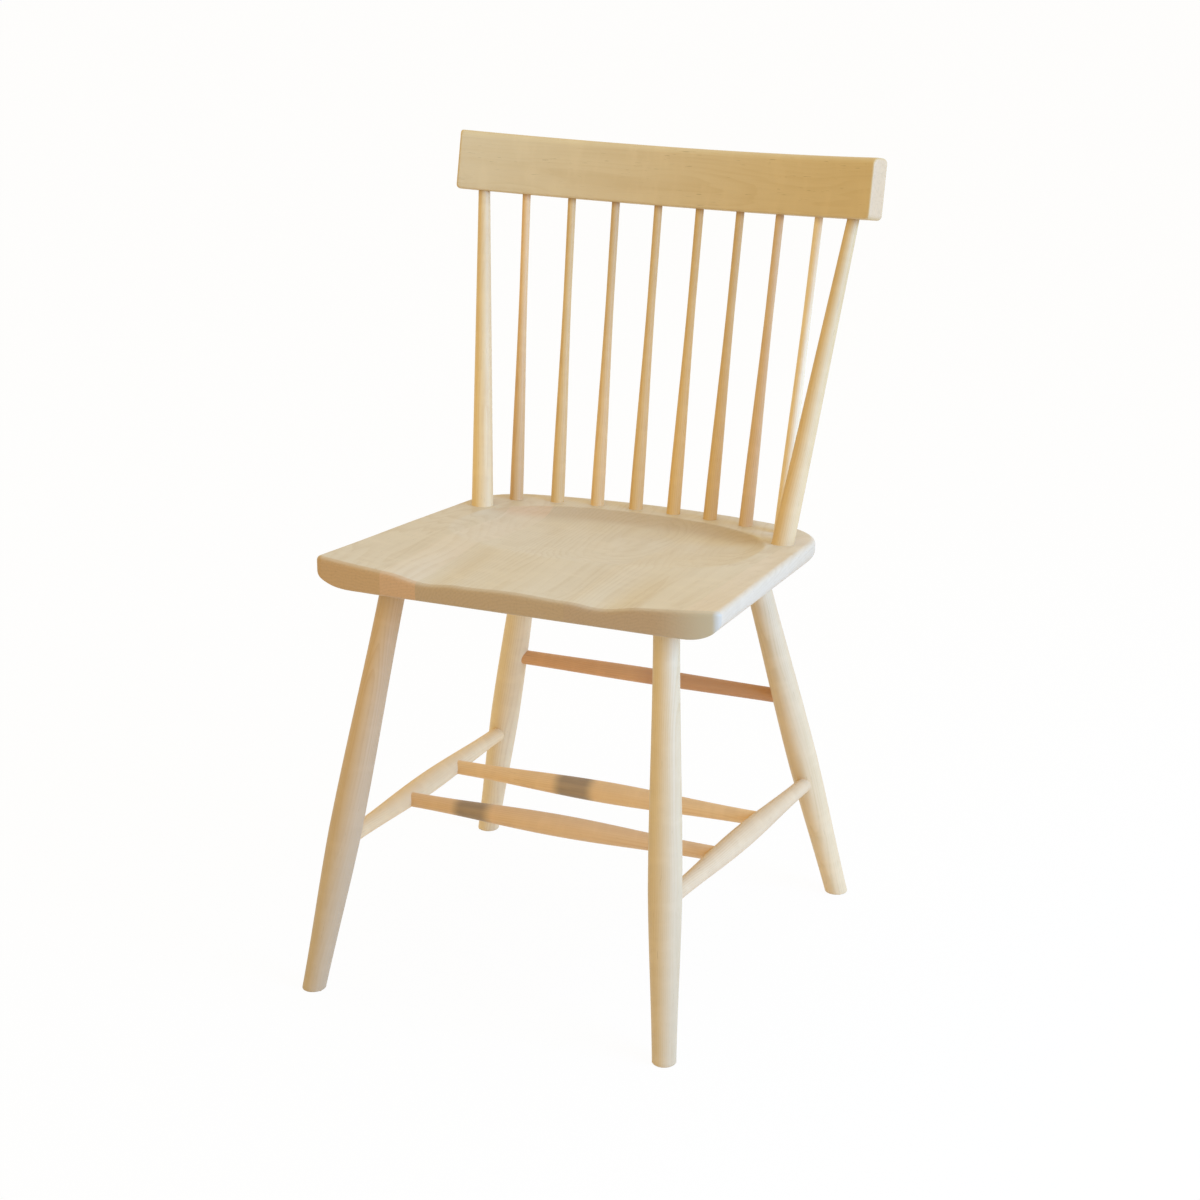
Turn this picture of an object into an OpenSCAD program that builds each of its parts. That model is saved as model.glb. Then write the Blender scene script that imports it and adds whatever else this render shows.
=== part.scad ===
// Spindle-back dining chair in the shaker manner, all of solid maple.
// A saddled seat glued up from five boards, four splayed turned legs with
// five stretchers, two turned posts, eight tapered spindles and a bent crest.
// Millimetres. +Z is up, the chair faces -Y, and left is -X.
// The origin is on the floor, at the middle of the chair's length and width.

/* [Seat] */
// Height of the seat's top at its front corners
seat_h = 457; // [420:1:490]
// Width across the front corners
seat_front_w = 452; // [436:1:470]
// Width that the sides run to at the back edge
seat_back_w = 406; // [390:1:420]
// Depth from the front edge to the middle of the back edge
seat_depth = 400; // [380:1:430]
// Thickness of the boards
seat_thick = 34.5; // [32:0.5:42]
// Fall of the seat towards the back, in degrees
seat_tilt = 3.85; // [1:0.05:5]
// Radius of the bowed back edge, in plan
seat_back_r = 645; // [560:5:900]
// Radius of the two back corners, in plan
seat_back_corner_r = 72; // [45:1:80]
// Radius of the two front corners, in plan
seat_front_corner_r = 8; // [6:1:20]
// Round on the top edge
seat_top_round = 6; // [2:0.5:8]
// Round on the lower front edge
seat_front_round = 4; // [2:0.5:8]
// How far in under the sides and back the big under-round starts
under_round_w = 42; // [20:1:45]
// How high the big under-round climbs
under_round_h = 21; // [14:1:23]
// How far in the gentler rise outside the under-round starts
under_rise_w = 110; // [80:5:130]
// How high the gentler rise climbs
under_rise_h = 2; // [0:0.5:3]

/* [Saddle] */
// Depth of the rear bowl
bowl_depth = 12; // [6:0.5:13]
// Half of the bowl's width
bowl_half_w = 172; // [150:1:178]
// Distance of the bowl's middle ahead of the back edge
bowl_in = 167; // [150:1:176]
// Reach of the bowl towards the front from its middle
bowl_front = 116; // [90:1:130]
// Flat deck between the spindle line and the bowl's rear rim
deck_w = 20; // [15:1:26]
// Dip of the front edge at its middle
front_dip = 13.5; // [6:0.5:14]
// Extra depth of the two thigh channels
channel_depth = 4; // [0:0.5:5]
// Distance of each thigh channel from the centre line
channel_x = 100; // [80:1:115]
// Half of each thigh channel's width
channel_half_w = 40; // [30:1:50]
// Half of the pommel's width
pommel_half_w = 65; // [50:1:80]
// Rise of the pommel between the channels
pommel_rise = 2.6; // [0:0.2:5]
// How far back the dip of the front edge runs
front_dip_run = 195; // [140:5:230]

/* [Seat boards] */
// First glue line, left of the centre line
seam_1 = 149; // [147:0.5:152]
// Second glue line, left of the centre line
seam_2 = 108; // [102:1:116]
// Third glue line, right of the centre line
seam_3 = 59; // [56:1:64]
// Fourth glue line, right of the centre line
seam_4 = 187; // [180:1:192]

/* [Legs] */
// Distance between the centres of the front feet
front_foot_spread = 403; // [370:1:430]
// Distance between the centres of the back feet
back_foot_spread = 446; // [410:1:470]
// Front feet ahead of the seat's front edge
front_foot_y = 72; // [50:1:90]
// Back feet ahead of the seat's back edge
back_foot_in = 14; // [-17:1:33]
// Front leg sockets off the centre line, on the seat's underside
front_leg_x = 154; // [148:1:162]
// Front leg sockets behind the front edge, on the seat's underside
front_leg_y = 39; // [30:1:50]
// Back leg sockets off the centre line, on the seat's underside
back_leg_x = 134; // [128:1:140]
// Back leg sockets ahead of the back edge, on the seat's underside
back_leg_in = 71; // [64:1:80]
// Diameter of a leg at the seat
leg_top_d = 27; // [25:0.2:27.8]
// Diameter of a front leg at its fullest
front_leg_max_d = 34.6; // [32:0.2:40]
// Diameter of a back leg at its fullest
back_leg_max_d = 33.2; // [32:0.2:40]
// Height of the fullest part of a leg
leg_max_h = 165; // [150:5:200]
// Diameter of a foot
foot_d = 24.6; // [22:0.2:30]
// Depth of the leg sockets in the seat
leg_socket_depth = 21; // [16:1:24]

/* [Stretchers] */
// Height of the side stretchers on the front legs
side_front_h = 155; // [130:1:175]
// Height of the side stretchers on the back legs
side_back_h = 138; // [120:1:165]
// Diameter of the side stretchers at the middle
side_mid_d = 24.5; // [22:0.5:28]
// Diameter of the side stretchers at the legs
side_end_d = 17; // [15:0.5:19]
// Front cross stretcher behind the front legs, along the side stretchers
cross_front_run = 144.4; // [120:0.1:167]
// Rear cross stretcher behind the front legs, along the side stretchers
cross_rear_run = 260.6; // [231:0.1:279]
// Diameter of the cross stretchers at the middle
cross_mid_d = 24; // [20:0.5:28]
// Diameter of the cross stretchers at their ends
cross_end_d = 15.8; // [13:0.2:17]
// Height of the rear stretcher between the back legs
rear_h = 241; // [200:1:280]
// Diameter of the rear stretcher at the middle
rear_mid_d = 18.4; // [17:0.2:22]
// Diameter of the rear stretcher at the legs
rear_end_d = 16.4; // [14:0.2:17]
// Depth of the stretcher sockets in the legs, from the leg's axis
leg_bore_past = 5; // [2:0.5:7]
// Depth of the cross stretcher sockets, from the side stretcher's axis
side_bore_past = 3; // [1:0.5:4]

/* [Back] */
// Distance between the post sockets in the seat
post_seat_spread = 360.4; // [350:0.2:368]
// Post sockets ahead of the seat's back edge
post_in = 102; // [92:1:108]
// Posts in from the crest's ends
post_end_in = 23.8; // [18:0.1:34]
// Diameter of a post at the seat
post_foot_d = 24.2; // [20:0.2:26]
// Diameter of a post at the crest
post_top_d = 13; // [11:0.2:15]
// Number of spindles between the posts, named in the node list
spindle_count = 8; // [8:1:8]
// Distance from spindle to spindle at the seat
spindle_pitch = 45.8; // [44:0.1:46.4]
// Distance from spindle to spindle at the crest
spindle_top_pitch = 49.6; // [46:0.1:51]
// Middle of the spindle line ahead of the seat's back edge
spindle_in = 30; // [26:0.5:34]
// Radius of the spindle line, in plan
spindle_line_r = 520; // [460:5:600]
// Diameter of a spindle at the seat
spindle_foot_d = 15.2; // [13:0.2:17.4]
// Diameter of a spindle at the crest
spindle_top_d = 9; // [8:0.2:12]
// Part of a spindle, from the crest down, that is of one thickness
spindle_even = 0.3; // [0.1:0.01:0.4]
// Depth of the post and spindle sockets in the seat
back_socket_depth = 22; // [16:1:24]
// Depth of the post and spindle sockets in the crest
crest_socket_depth = 18; // [14:1:30]

/* [Crest] */
// Height of the crest's lower front edge above the seat, at its middle
crest_rise = 310; // [263:1:363]
// Crest's lower front edge behind the seat's back edge, at its middle
crest_behind = 24.3; // [14:0.1:40]
// Distance between the crest's ends, across its front face
crest_w = 483.6; // [470:1:520]
// Height of the crest, along its face
crest_h = 65; // [50:1:90]
// Thickness of the crest
crest_t = 20.4; // [19.4:0.2:26]
// Radius of the crest's front face
crest_r = 525; // [480:5:700]
// Lean of the crest, in degrees
crest_tilt = 12.9; // [8:0.1:15]
// Round on the upper front edge
crest_front_round = 8; // [3:0.5:9]
// Round on the upper back edge
crest_back_round = 5; // [3:0.5:9]
// Round on the two lower edges
crest_low_round = 2.5; // [1:0.5:4]
// Round on the two lower corners, seen from the front
crest_low_corner = 5; // [3:0.5:8]
// Round on the two upper corners, seen from the front
crest_top_corner = 3; // [2:0.5:8]

/* [Fits] */
// Glue room round every tenon, on the radius
fit_gap = 0.1; // [0.05:0.05:0.2]
// Glue room past the end of every tenon
end_gap = 1; // [0.5:0.5:2]

/* [Hidden] */
NODES = [
    "seat_board_far_left", "seat_board_left", "seat_board_middle", "seat_board_right",
    "seat_board_far_right", "leg_front_left", "leg_front_right", "leg_back_left",
    "leg_back_right", "side_stretcher_left", "side_stretcher_right",
    "cross_stretcher_front", "cross_stretcher_rear", "rear_stretcher",
    "post_left", "post_right", "spindle_1", "spindle_2", "spindle_3", "spindle_4",
    "spindle_5", "spindle_6", "spindle_7", "spindle_8", "crest_rail"
];
node = "all";
$fn = 64;

// Colours of the pieces, as the light wood shows them
seat_colour = [0.84, 0.77, 0.65];
pale_colour = [0.88, 0.78, 0.60];
warm_colour = [0.85, 0.70, 0.48];
rear_colour = [0.80, 0.60, 0.40];

// Counts of the points along the turned pieces, across the seat, round a
// crest corner and along the crest's bend
turning_steps = 24;
seat_steps = 22;
arc_steps = 6;
bend_steps = 720;

// Squareness of the bowl's outline behind and ahead of its middle, and the
// steepness of its rear and front walls, which change over wall_change
rear_squareness = 3.5;
front_squareness = 2.5;
rear_steepness = 7;
front_steepness = 2.4;
wall_change = 110;
wall_change_start = -30;

// How far each taper leans from straight, at 0, to a full S, at 1
foot_curve = 0.5;
post_curve = 0;
spindle_curve = 0.6;

// Longest step between two sections of a board, and how many sections an outer
// board has and how strongly they crowd towards its edge
board_step = 12;
edge_step_count = 14;
edge_crowding = 1.6;

LEFT = -1;
RIGHT = 1;

// Turns the seam line of a leg and of a seat socket clear of the cuts and the glue lines
seam_turn = 90;

// Small helpers
function lerp(a, b, t) = a + (b - a) * t;
function clamp01(t) = max(0, min(1, t));
function ease(t) = (1 - cos(180 * clamp01(t))) / 2;
function swell(t, k) = (1 - k) * t + k * ease(t);
function bump(t) = abs(t) < 1 ? (1 + cos(180 * t)) / 2 : 0;
function blend(a, b) = pow(pow(a, 4) + pow(b, 4), 0.25);

// Places on the seat and the crest that follow the seat's depth and height, and
// the crest's width
bowl_y = seat_depth - bowl_in;
back_leg_y = seat_depth - back_leg_in;
back_foot_y = seat_depth - back_foot_in;
post_seat_y = seat_depth - post_in;
spindle_y = seat_depth - spindle_in;
crest_y = seat_depth + crest_behind;
crest_z = seat_h + crest_rise;
post_top_spread = crest_w - 2 * post_end_in;

// Seat outline, for a distance s from the centre line
side_slope = (seat_front_w - seat_back_w) / 2 / seat_depth;
side_angle = atan(side_slope);
back_cy = seat_depth - seat_back_r;
function side_x(y) = seat_front_w / 2 - y * side_slope;

// Middle of the back corner's arc: as far from the side as from the back edge
corner_reach = seat_back_r - seat_back_corner_r;
corner_x0 = side_x(back_cy) - seat_back_corner_r / cos(side_angle);
corner_q = 1 + side_slope * side_slope;
corner_root = pow(side_slope * corner_x0, 2)
    - corner_q * (corner_x0 * corner_x0 - corner_reach * corner_reach);
corner_dy = (side_slope * corner_x0 + sqrt(corner_root)) / corner_q;
corner_x = corner_x0 - side_slope * corner_dy;
corner_y = back_cy + corner_dy;
corner_end = atan2(corner_dy, corner_x);
back_arc_end_x = seat_back_r * cos(corner_end);
side_end_x = corner_x + seat_back_corner_r * cos(side_angle);

// Middle of the front corner's arc
toe_x = side_x(seat_front_corner_r) - seat_front_corner_r / cos(side_angle);
edge_trim = 0.05;
seat_reach = toe_x + seat_front_corner_r * cos(side_angle) - edge_trim;

function outline_front(s) =
    s <= toe_x ? 0
    : seat_front_corner_r - sqrt(max(0, pow(seat_front_corner_r, 2) - pow(s - toe_x, 2)));
function outline_back(s) =
    s <= back_arc_end_x ? back_cy + sqrt(pow(seat_back_r, 2) - s * s)
    : s <= side_end_x ? corner_y + sqrt(max(0, pow(seat_back_corner_r, 2) - pow(s - corner_x, 2)))
    : (seat_front_w / 2 - s) / side_slope;

// Distance in from the sides and the back edge
function edge_gap(s, y) =
    let (
        turn = atan2(y - corner_y, s - corner_x),
        in_corner = turn > side_angle && turn < corner_end
    )
    max(0, in_corner
        ? seat_back_corner_r - norm([s - corner_x, y - corner_y])
        : min((side_x(y) - s) * cos(side_angle), seat_back_r - norm([s, y - back_cy])));

// Heights of the seat's flat top, its saddle and its underside
function flat_z(y) = seat_h - y * tan(seat_tilt);
function spindle_line_y(s) = spindle_y - spindle_line_r + sqrt(pow(spindle_line_r, 2) - s * s);
function front_drop(s, y) =
    (front_dip * (1 - pow(s / (seat_front_w / 2), 2))
        + channel_depth * bump((s - channel_x) / channel_half_w)
        - pommel_rise * bump(s / pommel_half_w))
    * (1 - ease(y / front_dip_run));
function bowl_drop(s, y) =
    let (
        behind = y > bowl_y,
        rim = spindle_line_y(min(s, bowl_half_w)) - deck_w,
        across = s / bowl_half_w,
        along = behind ? (y - bowl_y) / (rim - bowl_y) : (bowl_y - y) / bowl_front,
        squareness = behind ? rear_squareness : front_squareness,
        reach = pow(pow(across, squareness) + pow(along, squareness), 1 / squareness),
        steepness = lerp(front_steepness, rear_steepness,
            ease((y - bowl_y - wall_change_start) / wall_change))
    )
    bowl_depth * max(0, 1 - pow(reach, steepness));
function rounding(gap, r) = gap >= r ? 0 : r - sqrt(r * r - pow(r - gap, 2));
function under_lift(gap) =
    under_rise_h * pow(clamp01(1 - gap / under_rise_w), 2)
    + under_round_h * (1 - sqrt(1 - pow(clamp01(1 - gap / under_round_w), 2)));
function seat_top_z(s, y) =
    flat_z(y) - blend(max(0, front_drop(s, y)), bowl_drop(s, y))
    - rounding(min(y, edge_gap(s, y)), seat_top_round);
function seat_low_z(s, y) =
    flat_z(y) - seat_thick + max(under_lift(edge_gap(s, y)), rounding(y, seat_front_round));

// The chair is centred on the floor by the toes of the front feet and the back of the crest
under_z_front = flat_z(front_leg_y) - seat_thick;
under_z_back = flat_z(back_leg_y) - seat_thick;
front_lean_y = (front_leg_y + front_foot_y) / under_z_front;
front_most = -front_foot_y - foot_d / 2 * sqrt(1 + front_lean_y * front_lean_y);
back_most = crest_y + (crest_t - crest_back_round) * cos(crest_tilt)
    + (crest_h - crest_back_round) * sin(crest_tilt) + crest_back_round;
middle_y = (front_most + back_most) / 2;

// Axes of the turned pieces, each as [seat or front end, far end]
function front_leg_axis(side) = [
    [side * front_leg_x, front_leg_y, under_z_front],
    [side * front_foot_spread / 2, -front_foot_y, 0]
];
function back_leg_axis(side) = [
    [side * back_leg_x, back_leg_y, under_z_back],
    [side * back_foot_spread / 2, back_foot_y, 0]
];
function at_height(axis, z) = lerp(axis[0], axis[1], (axis[0][2] - z) / (axis[0][2] - axis[1][2]));
function side_axis(side) = [
    at_height(front_leg_axis(side), side_front_h),
    at_height(back_leg_axis(side), side_back_h)
];
function along_side(side, run) =
    let (axis = side_axis(side))
    lerp(axis[0], axis[1], run / norm(axis[1] - axis[0]));
function cross_axis(run) = [along_side(LEFT, run), along_side(RIGHT, run)];
rear_axis = [
    at_height(back_leg_axis(LEFT), rear_h),
    at_height(back_leg_axis(RIGHT), rear_h)
];

// Point on the crest's lower face, half way through its thickness
function crest_point(x) =
    let (
        mid_r = crest_r + crest_t / 2,
        behind = sqrt(mid_r * mid_r - x * x) - crest_r
    )
    [x, crest_y + behind * cos(crest_tilt), crest_z - behind * sin(crest_tilt)];
function spindle_x(i) = i - 1 - (spindle_count - 1) / 2;
function spindle_axis(i) =
    let (x = spindle_x(i) * spindle_pitch, y = spindle_line_y(abs(x)))
    [[x, y, flat_z(y)], crest_point(spindle_x(i) * spindle_top_pitch)];
function post_axis(side) = [
    [side * post_seat_spread / 2, post_seat_y, flat_z(post_seat_y)],
    crest_point(side * post_top_spread / 2)
];

// Stands its children up along an axis, with their z = 0 at the axis's start
module along(axis, turn = 0) {
    d = axis[1] - axis[0];
    translate(axis[0])
        rotate([0, acos(d[2] / norm(d)), atan2(d[1], d[0])])
            rotate([0, 0, turn])
                children();
}

// A turning of radius points [z, r], with flat ends
module turning(points) {
    rotate_extrude()
        polygon(concat(
            [[0, points[0][0]]],
            [for (p = points) [p[1], p[0]]],
            [[0, points[len(points) - 1][0]]]
        ));
}

// A socket for a tenon of diameter d: depth deep before the axis's start, and open
// for a length of mouth after it
module socket(axis, d, depth, mouth, turn = 0) {
    along(axis, turn)
        translate([0, 0, -depth - end_gap])
            cylinder(h = depth + end_gap + mouth, d = d + 2 * fit_gap);
}

// A leg: a parallel tenon, a long swell, and a foot sawn level with the floor
module leg(axis, max_d) {
    length = norm(axis[1] - axis[0]);
    full = length * (1 - leg_max_h / axis[0][2]);
    spare = foot_d;
    upper = [for (i = [0:turning_steps])
        let (t = i / turning_steps)
        [full * t, lerp(leg_top_d, max_d, ease(t)) / 2]];
    lower = [for (i = [1:turning_steps])
        let (t = i / turning_steps)
        [lerp(full, length, t), lerp(max_d, foot_d, swell(t, foot_curve)) / 2]];
    tenon = [[-leg_socket_depth, leg_top_d / 2]];
    below = [[length + spare, foot_d / 2]];
    difference() {
        along(axis, sign(axis[1][0]) * seam_turn)
            turning(concat(tenon, upper, lower, below));
        translate([axis[1][0] - spare * 2, axis[1][1] - spare * 2, -spare * 2])
            cube([spare * 4, spare * 4, spare * 2]);
    }
}

module front_leg(side) {
    color(pale_colour)
        difference() {
            leg(front_leg_axis(side), front_leg_max_d);
            socket(side_axis(side), side_end_d, leg_bore_past, front_leg_max_d);
        }
}

module back_leg(side) {
    side_line = side_axis(side);
    rear_line = side == LEFT ? rear_axis : [rear_axis[1], rear_axis[0]];
    color(warm_colour)
        difference() {
            leg(back_leg_axis(side), back_leg_max_d);
            socket([side_line[1], side_line[0]], side_end_d, leg_bore_past, back_leg_max_d);
            socket(rear_line, rear_end_d, leg_bore_past, back_leg_max_d);
        }
}

// A stretcher: parallel tenons that run past both axes, and a swell between the walls
module stretcher(axis, end_d, mid_d, past, wall_d) {
    length = norm(axis[1] - axis[0]);
    wall = wall_d / 2;
    body = [for (i = [0:2 * turning_steps])
        let (t = i / turning_steps)
        [lerp(wall, length - wall, t / 2), lerp(end_d, mid_d, ease(1 - abs(1 - t))) / 2]];
    along(axis)
        turning(concat([[-past, end_d / 2]], body, [[length + past, end_d / 2]]));
}

module side_stretcher(side) {
    color(pale_colour)
        difference() {
            stretcher(side_axis(side), side_end_d, side_mid_d, leg_bore_past, front_leg_max_d);
            for (run = [cross_front_run, cross_rear_run]) {
                line = cross_axis(run);
                socket(side == LEFT ? line : [line[1], line[0]], cross_end_d, side_bore_past, side_mid_d);
            }
        }
}

module cross_stretcher(run) {
    color(warm_colour)
        stretcher(cross_axis(run), cross_end_d, cross_mid_d, side_bore_past, side_mid_d);
}

module rear_stretcher() {
    color(rear_colour)
        stretcher(rear_axis, rear_end_d, rear_mid_d, leg_bore_past, back_leg_max_d);
}

// A post: thick at the seat and tapered to the crest
module post(side) {
    axis = post_axis(side);
    length = norm(axis[1] - axis[0]);
    color(pale_colour)
        along(axis)
            turning(concat(
                [[-back_socket_depth, post_foot_d / 2]],
                [for (i = [0:turning_steps])
                    let (t = i / turning_steps)
                    [length * t, lerp(post_foot_d, post_top_d, swell(t, post_curve)) / 2]],
                [[length + crest_socket_depth, post_top_d / 2]]
            ));
}

// A spindle: parallel at the top, then thickening down to the seat
module spindle(i) {
    axis = spindle_axis(i);
    length = norm(axis[1] - axis[0]);
    taper = length * (1 - spindle_even);
    color(warm_colour)
        along(axis)
            turning(concat(
                [[-back_socket_depth, spindle_foot_d / 2]],
                [for (j = [0:turning_steps])
                    let (t = j / turning_steps)
                    [taper * t, lerp(spindle_foot_d, spindle_top_d, swell(t, spindle_curve)) / 2]],
                [[length + crest_socket_depth, spindle_top_d / 2]]
            ));
}

// Crest section: x runs from the front face to the back, y runs up
function corner_arc(cx, cy, r, start) =
    [for (i = [0:arc_steps])
        let (turn = start + 90 * i / arc_steps)
        [cx + r * cos(turn), cy + r * sin(turn)]];

module crest_section() {
    polygon(concat(
        corner_arc(crest_low_round, crest_low_round, crest_low_round, 180),
        corner_arc(crest_t - crest_low_round, crest_low_round, crest_low_round, 270),
        corner_arc(crest_t - crest_back_round, crest_h - crest_back_round, crest_back_round, 0),
        corner_arc(crest_front_round, crest_h - crest_front_round, crest_front_round, 90)
    ));
}

// What the round of radius r takes off a corner, at the start of the crest's bend
module corner_cut(r) {
    spare = 1;
    translate([crest_r - spare, 0, 0])
        difference() {
            translate([0, -spare, -spare])
                cube([crest_t + 2 * spare, r + spare, r + spare]);
            translate([-spare, r, r])
                rotate([0, 90, 0])
                    cylinder(h = crest_t + 4 * spare, r = r);
        }
}

// The crest laid flat: its ends are sawn square to the curve, and their corners rounded
module bent_board() {
    half_angle = asin(crest_w / 2 / crest_r);
    difference() {
        rotate([0, 0, 90 - half_angle])
            rotate_extrude(angle = 2 * half_angle, $fn = bend_steps)
                translate([crest_r, 0])
                    crest_section();
        for (left = [0, 1])
            mirror([left, 0, 0])
                rotate([0, 0, 90 - half_angle]) {
                    corner_cut(crest_low_corner);
                    translate([0, 0, crest_h])
                        mirror([0, 0, 1])
                            corner_cut(crest_top_corner);
                }
    }
}

// The crest: bent forward at both ends and leaning back
module crest_rail() {
    color(warm_colour)
        difference() {
            translate([0, crest_y, crest_z])
                rotate([-crest_tilt, 0, 0])
                    translate([0, -crest_r, 0])
                        bent_board();
            for (side = [LEFT, RIGHT]) {
                line = post_axis(side);
                socket([line[1], line[0]], post_top_d, crest_socket_depth, crest_t);
            }
            for (i = [1:spindle_count]) {
                line = spindle_axis(i);
                socket([line[1], line[0]], spindle_top_d, crest_socket_depth, crest_t);
            }
        }
}

// Seat boards: sections across the depth of the seat, at a list of x
function board_section(x) =
    let (s = abs(x), y0 = outline_front(s), y1 = outline_back(s))
    concat(
        [for (j = [0:seat_steps])
            let (y = lerp(y0, y1, ease(j / seat_steps)))
            [x, y, seat_top_z(s, y)]],
        [for (j = [seat_steps:-1:0])
            let (y = lerp(y0, y1, ease(j / seat_steps)))
            [x, y, seat_low_z(s, y)]]
    );

module board_solid(xs) {
    ring = 2 * (seat_steps + 1);
    last = (len(xs) - 1) * ring;
    points = [for (x = xs) each board_section(x)];
    sides = [for (i = [0:len(xs) - 2], j = [0:ring - 1])
        let (a = i * ring + j, b = i * ring + (j + 1) % ring)
        each [[a, b, b + ring], [a, b + ring, a + ring]]];
    caps = [for (j = [0:seat_steps - 1])
        let (low = ring - 1 - j)
        each [
            [j + 1, j, low], [low - 1, j + 1, low],
            [last + j, last + j + 1, last + low], [last + j + 1, last + low - 1, last + low]
        ]];
    polyhedron(points, concat(sides, caps));
}

module seat_sockets() {
    for (side = [LEFT, RIGHT]) {
        turn = side * seam_turn;
        socket(front_leg_axis(side), leg_top_d, leg_socket_depth, seat_thick, turn);
        socket(back_leg_axis(side), leg_top_d, leg_socket_depth, seat_thick, turn);
        socket(post_axis(side), post_foot_d, back_socket_depth, seat_thick, turn);
    }
    for (i = [1:spindle_count])
        socket(spindle_axis(i), spindle_foot_d, back_socket_depth, seat_thick);
}

module seat_board(xs) {
    color(seat_colour)
        difference() {
            board_solid(xs);
            seat_sockets();
        }
}

// Even steps between two glue lines
function even_steps(x0, x1) =
    let (n = ceil(abs(x1 - x0) / board_step))
    [for (i = [0:n]) lerp(x0, x1, i / n)];

// Steps that crowd towards the seat's outer edge
function edge_steps(x0, x1) =
    [for (i = [0:edge_step_count]) lerp(x0, x1, 1 - pow(1 - i / edge_step_count, edge_crowding))];
function turned_round(xs) = [for (i = [len(xs) - 1:-1:0]) xs[i]];

function want(name) = node == "all" || node == name;

translate([0, -middle_y, 0]) {
    if (want("seat_board_far_left")) seat_board(turned_round(edge_steps(-seam_1, -seat_reach)));
    if (want("seat_board_left")) seat_board(even_steps(-seam_1, -seam_2));
    if (want("seat_board_middle")) seat_board(even_steps(-seam_2, seam_3));
    if (want("seat_board_right")) seat_board(even_steps(seam_3, seam_4));
    if (want("seat_board_far_right")) seat_board(edge_steps(seam_4, seat_reach));
    if (want("leg_front_left")) front_leg(LEFT);
    if (want("leg_front_right")) front_leg(RIGHT);
    if (want("leg_back_left")) back_leg(LEFT);
    if (want("leg_back_right")) back_leg(RIGHT);
    if (want("side_stretcher_left")) side_stretcher(LEFT);
    if (want("side_stretcher_right")) side_stretcher(RIGHT);
    if (want("cross_stretcher_front")) cross_stretcher(cross_front_run);
    if (want("cross_stretcher_rear")) cross_stretcher(cross_rear_run);
    if (want("rear_stretcher")) rear_stretcher();
    if (want("post_left")) post(LEFT);
    if (want("post_right")) post(RIGHT);
    for (i = [1:spindle_count])
        if (want(str("spindle_", i))) spindle(i);
    if (want("crest_rail")) crest_rail();
}
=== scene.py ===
import math

import bmesh
import bpy
from mathutils import Matrix, Vector


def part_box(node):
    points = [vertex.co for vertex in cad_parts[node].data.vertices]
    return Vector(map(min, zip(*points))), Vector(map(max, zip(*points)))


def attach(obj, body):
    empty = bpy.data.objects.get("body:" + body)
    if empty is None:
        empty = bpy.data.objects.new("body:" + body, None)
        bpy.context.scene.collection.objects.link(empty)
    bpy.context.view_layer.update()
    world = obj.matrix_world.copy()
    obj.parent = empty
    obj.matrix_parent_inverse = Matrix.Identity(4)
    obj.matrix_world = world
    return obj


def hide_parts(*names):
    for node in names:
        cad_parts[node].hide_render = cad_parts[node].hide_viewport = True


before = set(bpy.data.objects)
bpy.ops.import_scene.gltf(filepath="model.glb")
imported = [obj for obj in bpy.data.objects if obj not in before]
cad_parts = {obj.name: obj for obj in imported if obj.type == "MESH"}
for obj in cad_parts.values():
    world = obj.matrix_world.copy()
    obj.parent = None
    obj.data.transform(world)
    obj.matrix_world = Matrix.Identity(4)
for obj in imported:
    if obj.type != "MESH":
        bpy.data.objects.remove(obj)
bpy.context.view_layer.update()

# Camera. It looks at the chair from its front right and from a little above
# the crest, with a long lens, as the photograph does.
eye = (1.11445, -2.44824, 1.27831)
camera_pitch = math.radians(71.5755)
camera_yaw = math.radians(24.1825)
sensor_width = 36.0
focal_length = 79.446

camera_data = bpy.data.cameras.new("camera")
camera_data.sensor_fit = "HORIZONTAL"
camera_data.sensor_width = sensor_width
camera_data.lens = focal_length
camera = bpy.data.objects.new("camera", camera_data)
camera.location = eye
camera.rotation_euler = (camera_pitch, 0, camera_yaw)
bpy.context.scene.collection.objects.link(camera)
bpy.context.scene.camera = camera

# Seat. Five maple boards, glued edge to edge with the grain running from front
# to back, then saddled on top into a bowl with a pommel between two thigh
# channels, and rounded off under both sides and the back.
MM = 0.001
seat_height = 457 * MM
seat_front_width = 452 * MM
seat_back_width = 406 * MM
seat_depth = 400 * MM
seat_thickness = 34.5 * MM
seat_fall = math.tan(math.radians(3.85))
back_bow = 645 * MM
back_corner = 72 * MM
front_corner = 8 * MM
top_round = 6 * MM
front_low_round = 4 * MM
under_round_width = 42 * MM
under_round_height = 21 * MM
under_rise_width = 110 * MM
under_rise_height = 2 * MM
front_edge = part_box("seat_board_middle")[0].y

bowl_depth = 12 * MM
bowl_half_width = 172 * MM
bowl_middle = 233 * MM
bowl_front_reach = 116 * MM
bowl_front_squareness = 2.5
bowl_back_squareness = 3.5
bowl_front_steepness = 2.4
bowl_wall_steepness = 7
bowl_wall_start = -30 * MM
bowl_wall_change = 110 * MM
deck_width = 20 * MM
spindle_line_middle = 370 * MM
spindle_line_bow = 520 * MM
front_dip = 13.5 * MM
front_dip_run = 195 * MM
channel_depth = 4 * MM
channel_place = 100 * MM
channel_half_width = 40 * MM
pommel_rise = 2.6 * MM
pommel_half_width = 65 * MM
saddle_joining = 4

seat_columns = 200
seat_rows = 140
board_edges = {
    "far_left": (None, -149 * MM),
    "left": (-149 * MM, -108 * MM),
    "middle": (-108 * MM, 59 * MM),
    "right": (59 * MM, 187 * MM),
    "far_right": (187 * MM, None),
}


def lerp(first, last, part):
    return first + (last - first) * part


def ease(part):
    """From 0 to 1, slow at both ends."""
    return (1 - math.cos(math.pi * max(0, min(1, part)))) / 2


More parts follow.
